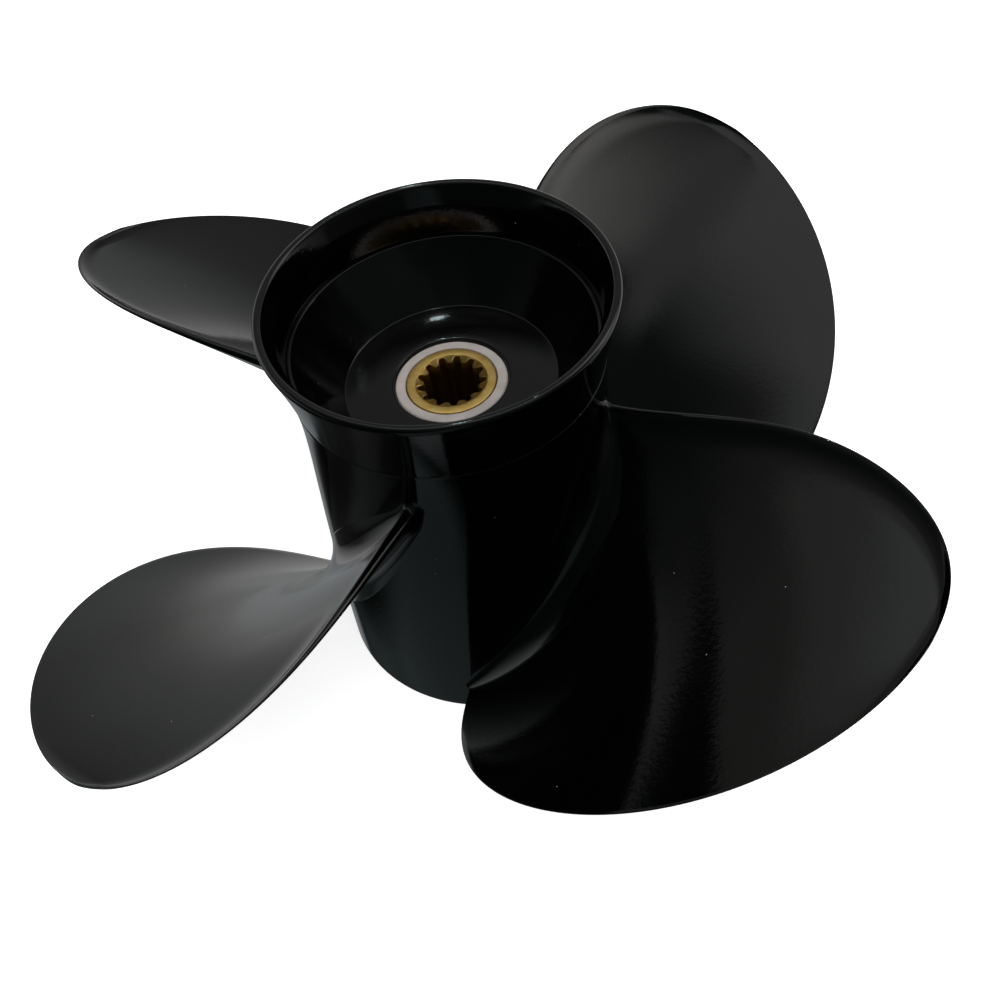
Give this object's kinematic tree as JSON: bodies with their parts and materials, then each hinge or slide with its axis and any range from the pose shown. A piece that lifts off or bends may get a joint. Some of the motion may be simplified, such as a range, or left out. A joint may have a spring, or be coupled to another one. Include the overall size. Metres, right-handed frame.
{
  "type": "boat propeller",
  "caption": "Right-hand boat propeller with a flared rear hub ring, wide cupped blades and a splined brass sleeve in a pale bush.",
  "frame": {"origin": "on the shaft axis, in the plane of the hub's front face, which the propeller stands on", "axes": "+Z along the shaft axis towards the rear (aft) end of the hub; blade_1 leaves the hub at 63.2 degrees from +X towards -Y"},
  "size_m": [0.29, 0.29, 0.1522],
  "materials": {
    "hub_paint": "gloss",
    "blade_paint": "gloss",
    "bush_rubber": "satin",
    "sleeve_brass": "satin"
  },
  "bodies": {
    "root": {"hub_body": "hub_paint", "diffuser_ring": "hub_paint", "blade_1": "blade_paint", "blade_2": "blade_paint", "blade_3": "blade_paint", "blade_4": "blade_paint", "front_rib_1": "hub_paint", "front_rib_2": "hub_paint", "front_rib_3": "hub_paint", "front_rib_4": "hub_paint", "rubber_bush": "bush_rubber", "spline_sleeve": "sleeve_brass"}
  },
  "joints": []
}
